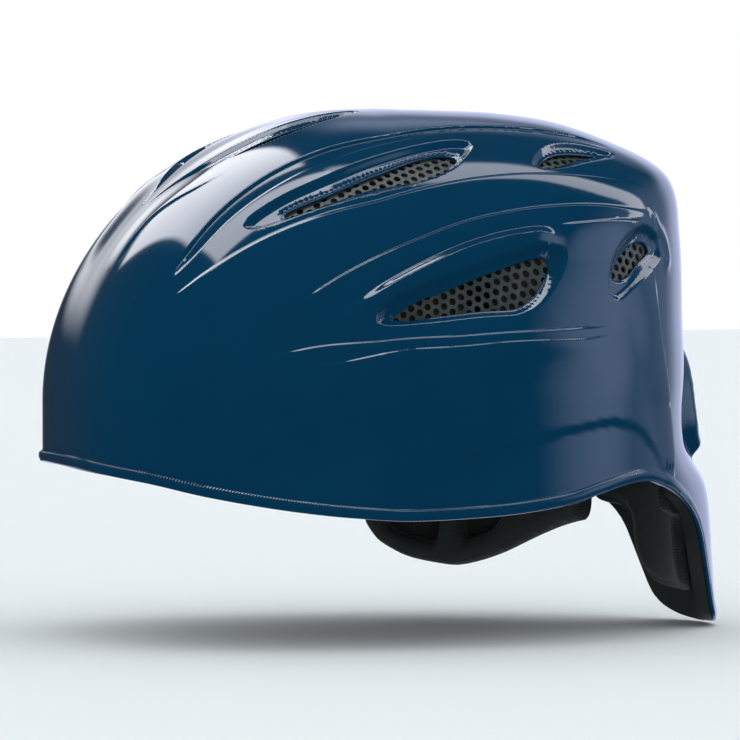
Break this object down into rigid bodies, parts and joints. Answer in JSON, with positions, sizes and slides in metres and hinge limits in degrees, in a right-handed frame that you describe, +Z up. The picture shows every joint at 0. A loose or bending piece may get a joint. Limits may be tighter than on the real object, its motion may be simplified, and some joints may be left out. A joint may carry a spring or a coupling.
{
  "type": "ball helmet",
  "caption": "Brimless hard-shell ball helmet with vents, a nape guard, impact foam and removable comfort pads.",
  "frame": {"origin": "centre of the head's girth plane inside the shell, where the head sits", "axes": "+Z up through the crown, the wearer faces -Y, the wearer's left side is +X"},
  "size_m": [0.2112, 0.2809, 0.2116],
  "materials": {
    "shell": "glossy moulded navy",
    "vent_mesh": "perforated black sheet",
    "impact_foam": "bead foam",
    "nape_foam": "closed-cell foam",
    "hook_tape": "hook fastener",
    "loop_backing": "loop fastener",
    "pad_cover": "laminated knit over soft foam"
  },
  "bodies": {
    "helmet": {"outer_shell": "shell", "rim_lip": "shell", "strap_keeper": "shell", "left_inner_vent_mesh": "vent_mesh", "right_inner_vent_mesh": "vent_mesh", "left_upper_vent_mesh": "vent_mesh", "right_upper_vent_mesh": "vent_mesh", "left_side_vent_mesh": "vent_mesh", "right_side_vent_mesh": "vent_mesh", "left_rear_top_vent_mesh": "vent_mesh", "right_rear_top_vent_mesh": "vent_mesh", "left_rear_side_vent_mesh": "vent_mesh", "right_rear_side_vent_mesh": "vent_mesh", "crown_liner": "impact_foam", "front_liner": "impact_foam", "left_liner": "impact_foam", "right_liner": "impact_foam", "rear_liner": "impact_foam", "nape_liner": "nape_foam", "forehead_hook_tape": "hook_tape", "crown_hook_tape": "hook_tape", "left_side_hook_tape": "hook_tape", "right_side_hook_tape": "hook_tape", "nape_hook_tape": "hook_tape"},
    "forehead_pad_body": {"forehead_pad": "pad_cover", "forehead_pad_backing": "loop_backing"},
    "crown_pad_body": {"crown_pad": "pad_cover", "crown_pad_backing": "loop_backing"},
    "left_side_pad_body": {"left_side_pad": "pad_cover", "left_side_pad_backing": "loop_backing"},
    "right_side_pad_body": {"right_side_pad": "pad_cover", "right_side_pad_backing": "loop_backing"},
    "nape_pad_body": {"nape_pad": "pad_cover", "nape_pad_backing": "loop_backing"}
  },
  "joints": [
    {"name": "forehead_pad_release", "type": "slide", "parent": "helmet", "child": "forehead_pad_body", "axis": [0, 0, -1], "range_m": [0, 0.12]},
    {"name": "crown_pad_release", "type": "slide", "parent": "helmet", "child": "crown_pad_body", "axis": [0, 0, -1], "range_m": [0, 0.2]},
    {"name": "left_side_pad_release", "type": "slide", "parent": "helmet", "child": "left_side_pad_body", "axis": [0, 0, -1], "range_m": [0, 0.12]},
    {"name": "right_side_pad_release", "type": "slide", "parent": "helmet", "child": "right_side_pad_body", "axis": [0, 0, -1], "range_m": [-0.034, 0.09]},
    {"name": "nape_pad_release", "type": "slide", "parent": "helmet", "child": "nape_pad_body", "axis": [0, 0, -1], "range_m": [0, 0.09]}
  ]
}
